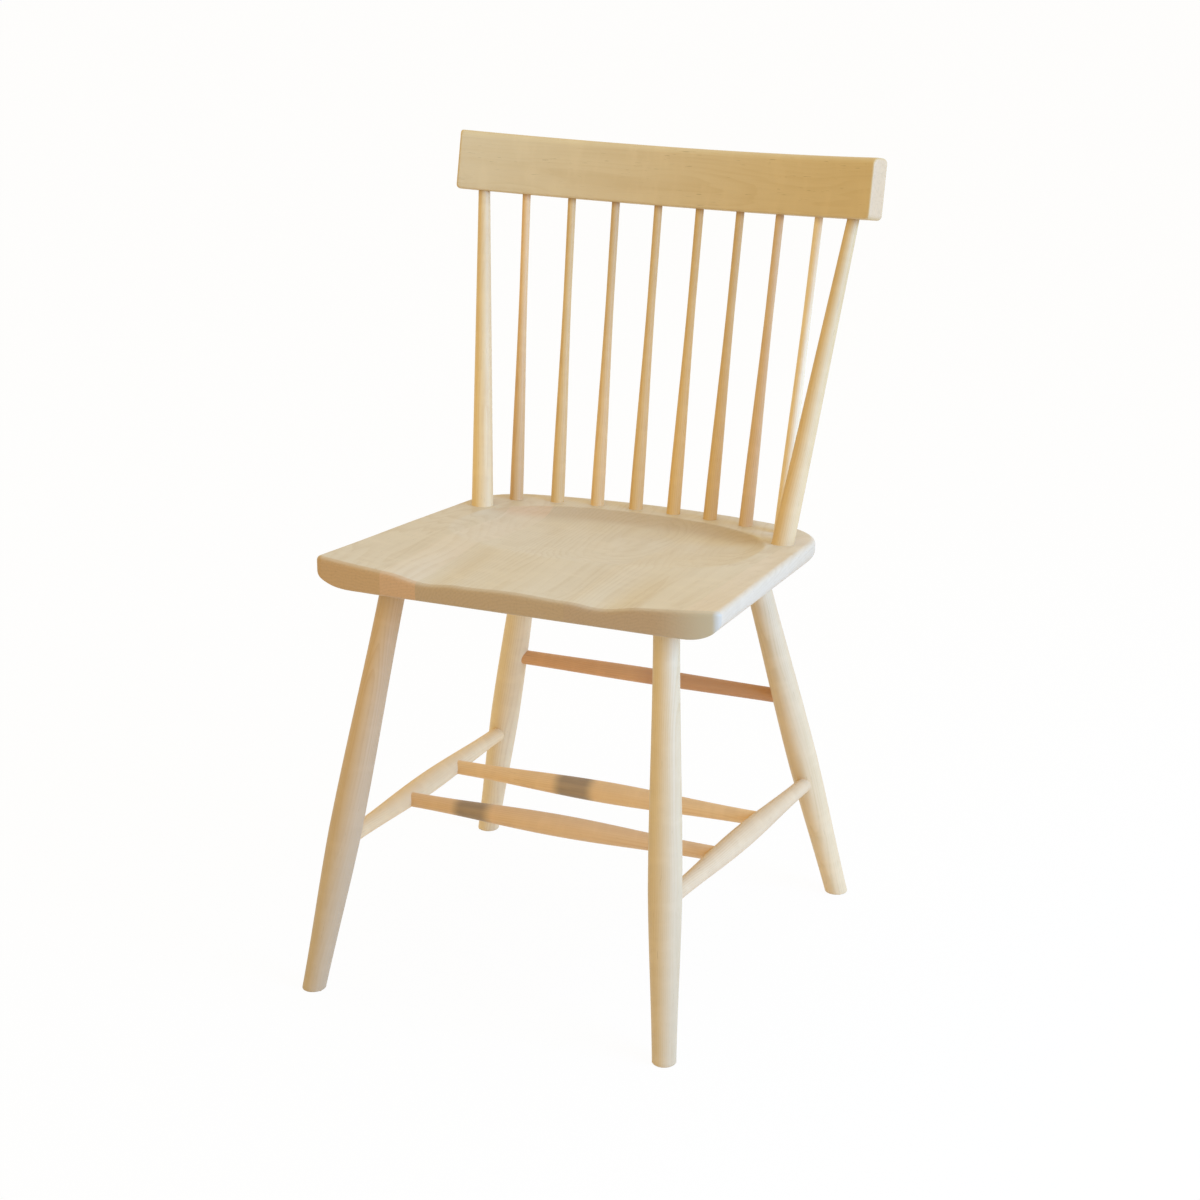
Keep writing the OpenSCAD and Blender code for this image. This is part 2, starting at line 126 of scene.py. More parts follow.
def bump(part):
    """1 at 0, and smoothly down to 0 at 1 and at -1."""
    return (1 + math.cos(math.pi * part)) / 2 if abs(part) < 1 else 0


# The outline, as half of the seat: s is the distance from its middle line and y from
# its front. The back corner is a circle between the bowed back and the slanting side.
half_front = seat_front_width / 2
side_slope = (seat_front_width - seat_back_width) / 2 / seat_depth
side_angle = math.atan(side_slope)
bow_centre = seat_depth - back_bow
corner_reach = back_bow - back_corner
corner_start = half_front - bow_centre * side_slope - back_corner / math.cos(side_angle)
corner_stretch = 1 + side_slope ** 2
corner_root = (side_slope * corner_start) ** 2 - corner_stretch * (corner_start ** 2 - corner_reach ** 2)
corner_rise = (side_slope * corner_start + math.sqrt(corner_root)) / corner_stretch
corner_x = corner_start - side_slope * corner_rise
corner_y = bow_centre + corner_rise
corner_end = math.atan2(corner_rise, corner_x)
bow_end = back_bow * math.cos(corner_end)
toe_x = half_front - front_corner * side_slope - front_corner / math.cos(side_angle)


def side_at(y):
    return half_front - y * side_slope


def column_meets(part, x, y, radius, way):
    """Where the column s = part * side_at(y) meets a circle, at its far side or its near one."""
    reach = part * half_front - x
    slant = part * side_slope
    a = slant ** 2 + 1
    b = -2 * slant * reach - 2 * y
    c = reach ** 2 + y ** 2 - radius ** 2
    return (-b + way * math.sqrt(max(0, b * b - 4 * a * c))) / (2 * a)


def column_ends(part):
    """Where such a column starts at the front and ends at the back."""
    near = 0
    if part * half_front > toe_x:
        near = column_meets(part, toe_x, front_corner, front_corner, -1)
    far = column_meets(part, 0, bow_centre, back_bow, 1)
    if part * side_at(far) > bow_end:
        far = column_meets(part, corner_x, corner_y, back_corner, 1)
    return near, far


def side_gap(s, y):
    """Distance in from the side and the back edge."""
    turn = math.atan2(y - corner_y, s - corner_x)
    if side_angle < turn < corner_end:
        return max(0, back_corner - math.hypot(s - corner_x, y - corner_y))
    return max(0, min((side_at(y) - s) * math.cos(side_angle), back_bow - math.hypot(s, y - bow_centre)))


def rim_gap(s, y):
    """Distance in from the whole outline."""
    if s > toe_x and y < front_corner:
        return max(0, front_corner - math.hypot(s - toe_x, y - front_corner))
    return min(y, side_gap(s, y))


def rounding(gap, width, height):
    """What the rounding of an edge takes off at a gap from the edge."""
    inside = max(0, min(1, 1 - gap / width))
    return height * (1 - math.sqrt(1 - inside ** 2))


def flat_height(y):
    """The seat's top before it is saddled. It falls evenly to the back."""
    return seat_height - y * seat_fall


def spindle_line(s):
    """The bowed line on which the spindles stand, at a distance from the middle."""
    return spindle_line_middle - spindle_line_bow + math.sqrt(spindle_line_bow ** 2 - s ** 2)


def front_drop(s, y):
    """The dip to the front edge, with a thigh channel in it and the pommel between."""
    dip = front_dip * (1 - (s / half_front) ** 2)
    channel = channel_depth * bump((s - channel_place) / channel_half_width)
    pommel = pommel_rise * bump(s / pommel_half_width)
    return max(0, (dip + channel - pommel) * (1 - ease(y / front_dip_run)))


def bowl_drop(s, y):
    """The bowl, nearly flat at its bottom, with a steeper wall towards the spindles."""
    rim = spindle_line(min(s, bowl_half_width)) - deck_width
    if y > bowl_middle:
        along = (y - bowl_middle) / (rim - bowl_middle)
        squareness = bowl_back_squareness
    else:
        along = (bowl_middle - y) / bowl_front_reach
        squareness = bowl_front_squareness
    reach = ((s / bowl_half_width) ** squareness + along ** squareness) ** (1 / squareness)
    to_wall = ease((y - bowl_middle - bowl_wall_start) / bowl_wall_change)
    steepness = lerp(bowl_front_steepness, bowl_wall_steepness, to_wall)
    return bowl_depth * max(0, 1 - reach ** steepness)


def seat_top(s, y):
    both = front_drop(s, y) ** saddle_joining + bowl_drop(s, y) ** saddle_joining
    saddle = both ** (1 / saddle_joining)
    return flat_height(y) - saddle - rounding(rim_gap(s, y), top_round, top_round)


def seat_under(s, y, from_front):
    gap = side_gap(s, y)
    lift = rounding(gap, under_round_width, under_round_height)
    lift += under_rise_height * max(0, 1 - gap / under_rise_width) ** 2
    front_lift = rounding(from_front, front_low_round, front_low_round)
    return flat_height(y) - seat_thickness + max(lift, front_lift)


def only(kind, items):
    return [item for item in items if isinstance(item, kind)]


def shaped_seat():
    """The whole seat as one closed shape, before it is parted along its glue lines."""
    shape = bmesh.new()
    bmesh.ops.create_grid(shape, x_segments=seat_columns, y_segments=seat_rows, size=1)
    for vert in shape.verts:
        part = math.sin(math.pi / 2 * vert.co.x)
        near, far = column_ends(abs(part))
        y = lerp(near, far, ease((vert.co.y + 1) / 2))
        x = part * side_at(y)
        vert.co = (x, y, seat_top(abs(x), y))
    lower = bmesh.ops.extrude_face_region(shape, geom=shape.faces[:])
    for vert in only(bmesh.types.BMVert, lower["geom"]):
        x, y, z = vert.co
        near, far = column_ends(min(1, abs(x) / side_at(y)))
        vert.co.z = seat_under(abs(x), y, y - near)
    return shape


saw_tolerance = 1e-7


def sawn(shape, place, outward):
    """Saws a shape off at a plane and closes the cut. Gives the edges round it."""
    cut = bmesh.ops.bisect_plane(
        shape, geom=shape.verts[:] + shape.edges[:] + shape.faces[:], dist=saw_tolerance,
        plane_co=place, plane_no=outward, clear_outer=True)
    rim = only(bmesh.types.BMEdge, cut["geom_cut"])
    bmesh.ops.edgeloop_fill(shape, edges=rim)
    return rim


def lay_grain(shape, along, beside, deep):
    """Keeps each point's place in its wood as its grain attribute, given the shape's own three axes."""
    grain = shape.verts.layers.float_vector.new("grain")
    for vert in shape.verts:
        vert[grain] = (vert.co[along], vert.co[beside], vert.co[deep])


class Wire:
    """One socket in a material. Sums written on it add Math nodes."""

    def __init__(self, tree, socket=None):
        self.tree = tree
        self.socket = socket

    def node(self, kind, settings, sockets, output=0):
        made = self.tree.nodes.new("ShaderNode" + kind)
        for name, value in settings.items():
            setattr(made, name, value)
        for name, value in sockets.items():
            if isinstance(value, Wire):
                self.tree.links.new(value.socket, made.inputs[name])
            else:
                made.inputs[name].default_value = value
        return Wire(self.tree, made.outputs[output])

    def maths(self, operation, *values):
        return self.node("Math", {"operation": operation}, dict(enumerate(values)))

    def __add__(self, other):
        return self.maths("ADD", self, other)

    def __radd__(self, other):
        return self.maths("ADD", other, self)

    def __sub__(self, other):
        return self.maths("SUBTRACT", self, other)

    def __rsub__(self, other):
        return self.maths("SUBTRACT", other, self)

    def __mul__(self, other):
        return self.maths("MULTIPLY", self, other)

    def __rmul__(self, other):
        return self.maths("MULTIPLY", other, self)

    def __truediv__(self, other):
        return self.maths("DIVIDE", self, other)

    def __pow__(self, other):
        return self.maths("POWER", self, other)

    def between(self, low, high):
        """0 below low, 1 above high, and smooth between them."""
        sockets = {"Value": self, "From Min": low, "From Max": high}
        return self.node("MapRange", {"interpolation_type": "SMOOTHSTEP"}, sockets)

    def mixed(self, first, second, amount, way="MIX"):
        """One colour, mixed with another by an amount. A Mix node has its colours at 6, 7 and 2."""
        settings = {"data_type": "RGBA", "blend_type": way}
        return self.node("Mix", settings, {0: amount, 6: first, 7: second}, 2)


def shade(red, green, blue):
    """A colour as a picture has it, from 0 to 255, in the renderer's own scale."""
    def straight(value):
        value /= 255
        return value / 12.92 if value <= 0.04045 else ((value + 0.055) / 1.055) ** 2.4
    return straight(red), straight(green), straight(blue), 1


def scaled(tone, part):
    return tuple(min(1, part * value) for value in tone[:3]) + (1,)


ring_wander = 20 * MM
ring_waver = 2.6
late_wood_start = 0.35
late_wood_end = 0.93
fibre_height = 0.4 * MM
fibre_strength = 0.12
end_grain_from = 0.5
end_grain_full = 0.9


def maple(name, light, late, pith, ring=2.2 * MM, figure=0.4, streaks=0.35, flecks=0.35,
          end_tone=None, end_axis=None, end_grain_and_shade_slopes=((end_grain_from, end_grain_full, 1),),
          painted_light_end=None, patch_and_shadow=None, fade=None):
    """Sanded maple, from its light wood, its late wood and the pith's place beside and below it.

    End grain shows where the wood faces along end_axis. Each end slope says how much it faces that way
    where end grain starts and where it shows fully, and its share; on the seat's bowl wall that band is
    end grain with painted shade. The painted light on an end says where beside the middle the end grain
    goes over to another, paler tone. A dark band along the wood has a start, an end, their softness and
    a tone: it is painted shadow at the top of a leg, a post or a spindle, and a dark patch on a
    stretcher.
    A fade has a length, at whose end the colour is multiplied by its tone.
    """
    material = bpy.data.materials.new(name)
    material.use_nodes = True
    tree = material.node_tree
    wires = Wire(tree)
    grain = wires.node("Attribute", {"attribute_name": "grain"}, {}, "Vector")
    along, beside, deep = (wires.node("SeparateXYZ", {}, {"Vector": grain}, axis) for axis in "XYZ")

    def noise(lengthways, crossways, detail=2.0, rough=0.5, shift=0.0):
        """Patches, about so many to the metre lengthways and crossways. Each shift gives others."""
        place = wires.node("Mapping", {}, {
            "Vector": grain, "Scale": (lengthways, crossways, crossways),
            "Location": (shift, shift * 1.7, shift * 0.6)})
        return wires.node("TexNoise", {}, {
            "Vector": place, "Scale": 1.0, "Detail": detail, "Roughness": rough})

    from_pith = beside + (noise(3.2, 7, shift=3) - 0.5) * ring_wander - pith[0]
    below_pith = deep + (noise(3.7, 7, shift=11) - 0.5) * ring_wander - pith[1]
    radius = (from_pith * from_pith + below_pith * below_pith) ** 0.5
    rings = radius / ring + (noise(2, 55, shift=5) - 0.5) * ring_waver
    phase = wires.maths("FRACT", rings)
    late_wood = phase.between(late_wood_start, late_wood_end) * (1 - phase.between(late_wood_end, 1.0))
    patches = noise(6, 26, shift=17).between(0.36, 0.62)
    broad = noise(4, 75, 3, shift=23)
    fibres = noise(26, 1150, 3, 0.6, shift=2)
    mottle = noise(70, 26, 2, shift=31)
    dashes = noise(62, 1000, 2, shift=41).between(0.66, 0.73) * noise(16, 120, shift=7).between(0.45, 0.6)

    dark_fibre = scaled(light, 0.86)
    pale_mottle = scaled(light, 1.05)
    fleck = scaled(late, 0.5)
    colour = wires.mixed(light, late, late_wood * (0.35 + 0.65 * patches) * figure)
    colour = wires.mixed(colour, late, broad.between(0.42, 0.78) * streaks)
    colour = wires.mixed(colour, dark_fibre, fibres.between(0.4, 0.8) * 0.3)
    colour = wires.mixed(colour, pale_mottle, mottle.between(0.45, 0.75) * 0.5)
    colour = wires.mixed(colour, fleck, dashes * flecks)
    # A darker band along the wood: painted shadow where a leg, post or spindle enters the seat or the
    # crest, and a dark patch on a stretcher
    if patch_and_shadow:
        low, high, soft, tone = patch_and_shadow
        patch = along.between(low - soft, low + soft) * (1 - along.between(high - soft, high + soft))
        cloudy = 0.8 + 0.5 * (noise(12, 140, shift=51) - 0.5)
        colour = wires.mixed(colour, tone, patch * cloudy)
    if fade:
        length, tone = fade
        colour = wires.mixed(colour, tone, along.between(0, length), "MULTIPLY")
    if end_axis:
        normal = wires.node("NewGeometry", {}, {}, "Normal")
        facing = wires.node("VectorMath", {"operation": "DOT_PRODUCT"}, {0: normal, 1: end_axis}, "Value")
        end_grain_and_shade = (0 - facing).between(end_grain_from, end_grain_full)
        # Each slope adds end grain; the band on the seat's bowl wall adds painted shade with it
        for low, high, share in end_grain_and_shade_slopes:
            end_grain_and_shade = end_grain_and_shade + facing.between(low, high) * share
        pores = noise(420, 420, 2, shift=61).between(0.45, 0.75)
        ends = wires.mixed(end_tone, scaled(end_tone, 0.86), late_wood * 0.4)
        ends = wires.mixed(ends, scaled(end_tone, 0.8), pores * 0.5)
        # Painted light: the end grain goes over to the paler tone from one place beside the middle to
        # another
        if painted_light_end:
            low, high, tone = painted_light_end
            ends = wires.mixed(ends, tone, beside.between(low, high))
        colour = wires.mixed(colour, ends, end_grain_and_shade)

    roughness = 0.46 + fibres * 0.1 + late_wood * 0.03
    relief = fibres * 0.7 + late_wood * 0.3
    bumps = wires.node(
        "Bump", {}, {"Strength": fibre_strength, "Distance": fibre_height, "Height": relief}, "Normal")
    shader = tree.nodes["Principled BSDF"]
    for wire, socket in ((colour, "Base Color"), (roughness, "Roughness"), (bumps, "Normal")):
        tree.links.new(wire.socket, shader.inputs[socket])
    shader.inputs["IOR"].default_value = 1.45
    return material


sharp_edge = math.radians(35)


def finished(shape, name, material, node):
    """Makes a piece of the chair from its shape. It rides on the chair's one body."""
    mesh = bpy.data.meshes.new(name)
    shape.to_mesh(mesh)
    shape.free()
    mesh.shade_smooth()
    mesh.set_sharp_from_angle(angle=sharp_edge)
    mesh.materials.append(material)
    piece = bpy.data.objects.new(name, mesh)
    bpy.context.scene.collection.objects.link(piece)
    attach(piece, "root")
    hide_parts(node)


# Each board's light wood, late wood, end grain and pith
board_tones = {
    "far_left": (shade(204, 188, 161), shade(185, 161, 125), shade(191, 157, 115), (-0.20, -0.07)),
    "left": (shade(209, 193, 168), shade(191, 167, 130), shade(200, 163, 125), (-0.02, -0.11)),
    "middle": (shade(207, 192, 166), shade(186, 163, 126), shade(183, 157, 123), (0.02, 0.345)),
    "right": (shade(208, 192, 164), shade(188, 163, 127), shade(180, 154, 123), (0.16, 0.31)),
    "far_right": (shade(211, 193, 166), shade(194, 171, 136), shade(179, 153, 122), (0.10, -0.12)),
}
board_ring = 3.4 * MM
# How much the wood faces the front where end grain starts and shows fully, and its share. On the bowl's
# back wall this band is end grain with painted shade.
bowl_wall_grain_and_shade = (-0.03, 0.28, 0.6)
front_end_grain = (0.55, 0.9, 0.4)
# Painted light: the front edge's end grain turns paler and greyer towards the right corner, across this
# span beside the middle
painted_light_front_end = (150 * MM, 225 * MM, shade(191, 186, 170))

whole_seat = shaped_seat()
for board, (low, high) in board_edges.items():
    shape = whole_seat.copy()
    for place, way in ((low, -1), (high, 1)):
        if place is not None:
            sawn(shape, (place, 0, 0), (way, 0, 0))
    lay_grain(shape, 1, 0, 2)
    bmesh.ops.translate(shape, verts=shape.verts, vec=(0, front_edge, 0))
    bmesh.ops.recalc_face_normals(shape, faces=shape.faces)
    light, late, end_tone, pith = board_tones[board]
    wood = maple(
        "seat_maple_" + board, light, late, pith, board_ring, figure=0.3, streaks=0.28, flecks=0.3,
        end_tone=end_tone, end_axis=(0, -1, 0), end_grain_and_shade_slopes=(bowl_wall_grain_and_shade, front_end_grain),
        painted_light_end=painted_light_front_end)
    finished(shape, "saddled_board_" + board, wood, "seat_board_" + board)
whole_seat.free()

# Legs. Four maple turnings, fullest below the middle, glued into blind holes
# in the seat, with their feet sawn level with the floor.
leg_places = {"front": (154 * MM, 39 * MM), "back": (134 * MM, 329 * MM)}
foot_places = {"front": (201.5 * MM, -72 * MM), "back": (223 * MM, 386 * MM)}
leg_diameters = {"front": 34.6 * MM, "back": 33.2 * MM}
leg_top_diameter = 27 * MM
leg_fullest = 165 * MM
leg_curve = 0.5
foot_diameter = 24.6 * MM
leg_tenon = 21 * MM
foot_edge = 1.6 * MM
foot_edge_steps = 4
turning_steps = 40
turning_sides = 64
weld_distance = 1e-6
hands = {"left": -1, "right": 1}


def turned(profile, start, end, pith_side, sides=turning_sides):
    """Wood turned to a profile of (place, radius), along the line from start to end."""
    shape = bmesh.new()
    line = [shape.verts.new((radius, 0, place)) for place, radius in profile]
    edges = [shape.edges.new(pair) for pair in zip(line, line[1:])]
    bmesh.ops.spin(
        shape, geom=line + edges, cent=(0, 0, 0), axis=(0, 0, 1), angle=2 * math.pi, steps=sides,
        use_merge=True)
    bmesh.ops.remove_doubles(shape, verts=shape.verts, dist=weld_distance)
    bmesh.ops.rotate(shape, verts=shape.verts, cent=(0, 0, 0), matrix=Matrix.Rotation(pith_side, 3, "Z"))
    lay_grain(shape, 2, 0, 1)
    direction = Vector(end) - Vector(start)
    upright = direction.to_track_quat("Z", "Y").to_matrix().to_4x4()
    bmesh.ops.transform(shape, verts=shape.verts, matrix=Matrix.Translation(start) @ upright)
    bmesh.ops.recalc_face_normals(shape, faces=shape.faces)
    return shape


def leg_line(row, side):
    """A leg's axis, from the seat's underside to the floor."""
    x, y = leg_places[row]
    foot_x, foot_y = foot_places[row]
    top = Vector((side * x, front_edge + y, flat_height(y) - seat_thickness))
    return top, Vector((side * foot_x, front_edge + foot_y, 0))


def curved(part, curve):
    """A part of the way, straight where curve is 0 and eased at both ends where it is 1."""
    return lerp(part, ease(part), curve)


def leg_profile(length, height, diameter):
    full = length * (1 - leg_fullest / height)
    profile = [(-leg_tenon, 0), (-leg_tenon, leg_top_diameter / 2)]
    for step in range(turning_steps + 1):
        part = step / turning_steps
        profile.append((full * part, lerp(leg_top_diameter, diameter, ease(part)) / 2))
    for step in range(1, turning_steps + 1):
        part = step / turning_steps
        width = lerp(diameter, foot_diameter, curved(part, leg_curve))
        profile.append((lerp(full, length, part), width / 2))
    profile.append((length + foot_diameter, foot_diameter / 2))
    profile.append((length + foot_diameter, 0))
    return profile


# Each leg's light wood, late wood, pith, turn about its axis and fade to the foot
leg_tones = {
    "front_left": (shade(204, 175, 138), shade(186, 150, 107), (0.05, 0.07), 0.4, (0.88, 0.97, 1.09, 1)),
    "front_right": (shade(217, 194, 156), shade(199, 169, 121), (0.08, 0.03), 1.3, (0.88, 0.89, 0.92, 1)),
    "back_left": (shade(228, 206, 168), shade(207, 175, 129), (0.03, 0.09), 2.2, (0.97, 0.97, 0.97, 1)),
    "back_right": (shade(216, 192, 155), shade(196, 168, 121), (0.09, 0.05), 0.9, (1.1, 1.1, 1.07, 1)),
}
# Painted shadow at the top of each leg, where it enters the seat
leg_shadow_reach = 2 * MM
leg_shadow_softness = 3 * MM
leg_shadow_darkness = 0.72

for row, diameter in leg_diameters.items():
    for hand, side in hands.items():
        key = f"{row}_{hand}"
        light, late, pith, turn, fade = leg_tones[key]
        top, bottom = leg_line(row, side)
        length = (bottom - top).length
        shape = turned(leg_profile(length, top.z, diameter), top, bottom, turn)
        rim = sawn(shape, (0, 0, 0), (0, 0, -1))
        bmesh.ops.recalc_face_normals(shape, faces=shape.faces)
        bmesh.ops.bevel(
            shape, geom=rim, offset=foot_edge, offset_type="OFFSET", affect="EDGES",
            segments=foot_edge_steps, profile=0.5, material=-1)
        seat_shadow = (-leg_tenon, leg_shadow_reach, leg_shadow_softness, scaled(late, leg_shadow_darkness))
        wood = maple("leg_maple_" + key, light, late, pith, patch_and_shadow=seat_shadow, fade=(length, fade))
        finished(shape, "turned_leg_" + key, wood, "leg_" + key)

# Stretchers. Two side stretchers join the legs, two cross stretchers join the
# side ones, and a thin one joins the back legs higher up. Each is a turned
# maple rod, fullest in the middle, with its ends glued into drilled holes.
side_stretcher_heights = {"front": 155 * MM, "back": 138 * MM}
side_stretcher_diameters = (17 * MM, 24.5 * MM)
cross_stretcher_places = {"front": 144.4 * MM, "rear": 260.6 * MM}
cross_stretcher_diameters = (15.8 * MM, 24 * MM)
rear_stretcher_height = 241 * MM
rear_stretcher_diameters = (16.4 * MM, 18.4 * MM)
leg_hole_past = 5 * MM
side_hole_past = 3 * MM


def at_height(row, side, height):
    """The point of a leg's axis at a height."""
    top, bottom = leg_line(row, side)
    return top.lerp(bottom, (top.z - height) / (top.z - bottom.z))


def rod(start, end, diameters, past, wall, turn):
    """A rod between the axes of two pieces as thick as wall. Its ends go past those axes."""
    ends, middle = diameters
    length = (end - start).length
    profile = [(-past, 0), (-past, ends / 2)]
    for step in range(2 * turning_steps + 1):
        part = step / turning_steps
        place = lerp(wall / 2, length - wall / 2, part / 2)
        profile.append((place, lerp(ends, middle, ease(1 - abs(1 - part))) / 2))
    profile.append((length + past, ends / 2))
    profile.append((length + past, 0))
    return turned(profile, start, end, turn)


# Each side stretcher's light wood, late wood, pith and turn about its axis
side_stretcher_tones = {
    "left": (shade(230, 203, 159), shade(210, 171, 120), (0.04, 0.04), 0.7),
    "right": (shade(217, 191, 153), shade(198, 160, 115), (0.04, 0.08), 2.0),
}
side_lines = {}
for hand, side in hands.items():
    start, end = (at_height(row, side, height) for row, height in side_stretcher_heights.items())
    side_lines[hand] = (start, end)
    light, late, pith, turn = side_stretcher_tones[hand]
    shape = rod(start, end, side_stretcher_diameters, leg_hole_past, leg_diameters["front"], turn)
    wood = maple("side_stretcher_maple_" + hand, light, late, pith)
    finished(shape, "turned_side_stretcher_" + hand, wood, "side_stretcher_" + hand)

# Each cross stretcher's light wood, late wood, and where its dark patch starts and ends
cross_stretcher_tones = {
    "front": (shade(221, 183, 136), shade(201, 152, 102), 64.5 * MM, 103.5 * MM),
    "rear": (shade(232, 192, 136), shade(211, 159, 103), 135 * MM, 177 * MM),
}
dark_patch_softness = 8 * MM
dark_patch_tone = shade(138, 118, 93)
for row, place in cross_stretcher_places.items():
    start, end = (
        front.lerp(back, place / (back - front).length) for front, back in side_lines.values())
    shape = rod(
        start, end, cross_stretcher_diameters, side_hole_past, side_stretcher_diameters[1], turn=1.1)
    light, late, low, high = cross_stretcher_tones[row]
    wood = maple(
        "cross_stretcher_maple_" + row, light, late, (0.05, 0.05), flecks=0.4,
        patch_and_shadow=(low, high, dark_patch_softness, dark_patch_tone))
    finished(shape, "turned_cross_stretcher_" + row, wood, "cross_stretcher_" + row)

dark_half = (165 * MM, 400 * MM, 12 * MM, shade(191, 141, 100))
start, end = (at_height("back", side, rear_stretcher_height) for side in hands.values())
shape = rod(start, end, rear_stretcher_diameters, leg_hole_past, leg_diameters["back"], turn=0.3)
wood = maple(
    "rear_stretcher_maple", shade(213, 162, 113), shade(186, 132, 84), (0.05, 0.05), flecks=0.4,
    patch_and_shadow=dark_half)
finished(shape, "turned_rear_stretcher", wood, "rear_stretcher")

# Crest rail. One maple board, steam-bent to a curve and leaned back, with its
# upper edges rounded and its ends sawn square to the curve.
crest_low_edge = 767 * MM
crest_front = 424.3 * MM
crest_width = 483.6 * MM
crest_height = 65 * MM
crest_thickness = 20.4 * MM
crest_radius = 525 * MM
crest_lean = math.radians(12.9)
crest_front_round = 8 * MM
crest_back_round = 5 * MM
crest_low_round = 2.5 * MM
crest_low_corner = 5 * MM
crest_top_corner = 3 * MM
crest_end_round = 1.6 * MM
crest_steps = 96
round_steps = 8


def corner_arc(x, z, radius, start):
    """Points round one corner of the crest's section, a quarter turn from start."""
    for step in range(round_steps + 1):
        turn = math.radians(start + 90 * step / round_steps)
        yield x + radius * math.cos(turn), z + radius * math.sin(turn)


low = crest_low_round
back = crest_back_round
front = crest_front_round
section = [
    *corner_arc(low, low, low, 180),
    *corner_arc(crest_thickness - low, low, low, 270),
    *corner_arc(crest_thickness - back, crest_height - back, back, 0),
    *corner_arc(front, crest_height - front, front, 90),
]
half_angle = math.asin(crest_width / 2 / crest_radius)
shape = bmesh.new()
outline = [shape.verts.new((0, crest_radius + x, z)) for x, z in section]
edges = [shape.edges.new((outline[i - 1], outline[i])) for i in range(len(outline))]
bmesh.ops.rotate(shape, verts=outline, cent=(0, 0, 0), matrix=Matrix.Rotation(half_angle, 3, "Z"))
spun = bmesh.ops.spin(
    shape, geom=outline + edges, cent=(0, 0, 0), axis=(0, 0, -1), angle=2 * half_angle, steps=crest_steps)
bmesh.ops.edgeloop_fill(shape, edges=edges)
bmesh.ops.edgeloop_fill(shape, edges=only(bmesh.types.BMEdge, spun["geom_last"]))
bmesh.ops.recalc_face_normals(shape, faces=shape.faces)
grain = shape.verts.layers.float_vector.new("grain")
for vert in shape.verts:
    x, y, z = vert.co
    # The steps crowd towards the ends, where the corners and the end edges are rounded
    angle = half_angle * math.sin(math.pi / 2 * math.atan2(x, y) / half_angle)
    to_end = crest_radius * (half_angle - abs(angle))
    lowest = rounding(to_end, crest_low_corner, crest_low_corner)
    highest = crest_height - rounding(to_end, crest_top_corner, crest_top_corner)
    inward = rounding(to_end, crest_end_round, crest_end_round)
    deep = lerp(inward, crest_thickness - inward, (math.hypot(x, y) - crest_radius) / crest_thickness)
    height = lerp(lowest, highest, z / crest_height)
    reach = crest_radius + deep
    vert.co = (reach * math.sin(angle), reach * math.cos(angle), height)
    vert[grain] = (crest_radius * angle, height, deep)
crest_place = (
    Matrix.Translation((0, front_edge + crest_front, crest_low_edge))
    @ Matrix.Rotation(-crest_lean, 4, "X")
    @ Matrix.Translation((0, -crest_radius, 0)))
bmesh.ops.transform(shape, verts=shape.verts, matrix=crest_place)
wood = maple(
    "crest_maple", shade(207, 182, 137), shade(184, 152, 101), (0.02, -0.06), figure=0.2, streaks=0.25,
    flecks=0.55, end_tone=shade(211, 180, 138), end_axis=(1, 0, 0))
finished(shape, "bent_crest_rail", wood, "crest_rail")

# Posts and spindles. Two posts and eight thinner spindles, turned and tapered
# towards the crest, with both ends glued into blind holes.
post_seat_spread = 360.4 * MM
post_seat_place = 298 * MM
post_top_spread = 436 * MM
post_diameters = (24.2 * MM, 13 * MM)
spindle_pitch = 45.8 * MM
spindle_top_pitch = 49.6 * MM
spindle_diameters = (15.2 * MM, 9 * MM)
spindle_even_part = 0.3
spindle_curve = 0.6
spindle_sides = 48
spindle_turn = 1.3
spindle_pith = (0.02, 0.05)
spindle_pith_step = 0.006
seat_hole = 22 * MM
crest_hole = 18 * MM
# Painted shadow at the top of each post and spindle, just under the crest
crest_shadow_reach = 3 * MM
crest_shadow_softness = 5 * MM
crest_shadow_darkness = 0.8


def crest_point(x):
    """A point on the crest's lower face, half way through it."""
    behind = math.sqrt((crest_radius + crest_thickness / 2) ** 2 - x ** 2) - crest_radius
    y = front_edge + crest_front + behind * math.cos(crest_lean)
    return Vector((x, y, crest_low_edge - behind * math.sin(crest_lean)))


def taper_profile(length, diameters, even_part=0, curve=0):
    foot, top = diameters
    profile = [(-seat_hole, 0), (-seat_hole, foot / 2)]
    for step in range(turning_steps + 1):
        part = step / turning_steps
        profile.append((length * (1 - even_part) * part, lerp(foot, top, curved(part, curve)) / 2))
    profile.append((length + crest_hole, top / 2))
    profile.append((length + crest_hole, 0))
    return profile


def shadow_under_crest(length, late):
    """Painted shadow at the end of a post or a spindle, where it enters the crest."""
    return length - crest_shadow_reach, length + crest_hole, crest_shadow_softness, scaled(late, crest_shadow_darkness)


# Each post's light wood, late wood, pith, turn about its axis and fade to the crest
post_tones = {
    "left": (shade(232, 206, 159), shade(213, 176, 123), (0.03, -0.07), 0.5, (0.9, 0.9, 0.92, 1)),
    "right": (shade(221, 191, 143), shade(202, 165, 110), (0.03, 0.07), 1.9, (0.9, 0.9, 0.88, 1)),
}
for hand, side in hands.items():
    x = side * post_seat_spread / 2
    start = Vector((x, front_edge + post_seat_place, flat_height(post_seat_place)))
    end = crest_point(side * post_top_spread / 2)
    length = (end - start).length
    light, late, pith, turn, fade = post_tones[hand]
    shape = turned(taper_profile(length, post_diameters), start, end, turn)
    wood = maple(
        "post_maple_" + hand, light, late, pith, patch_and_shadow=shadow_under_crest(length, late), fade=(length, fade))
    finished(shape, "turned_post_" + hand, wood, "post_" + hand)

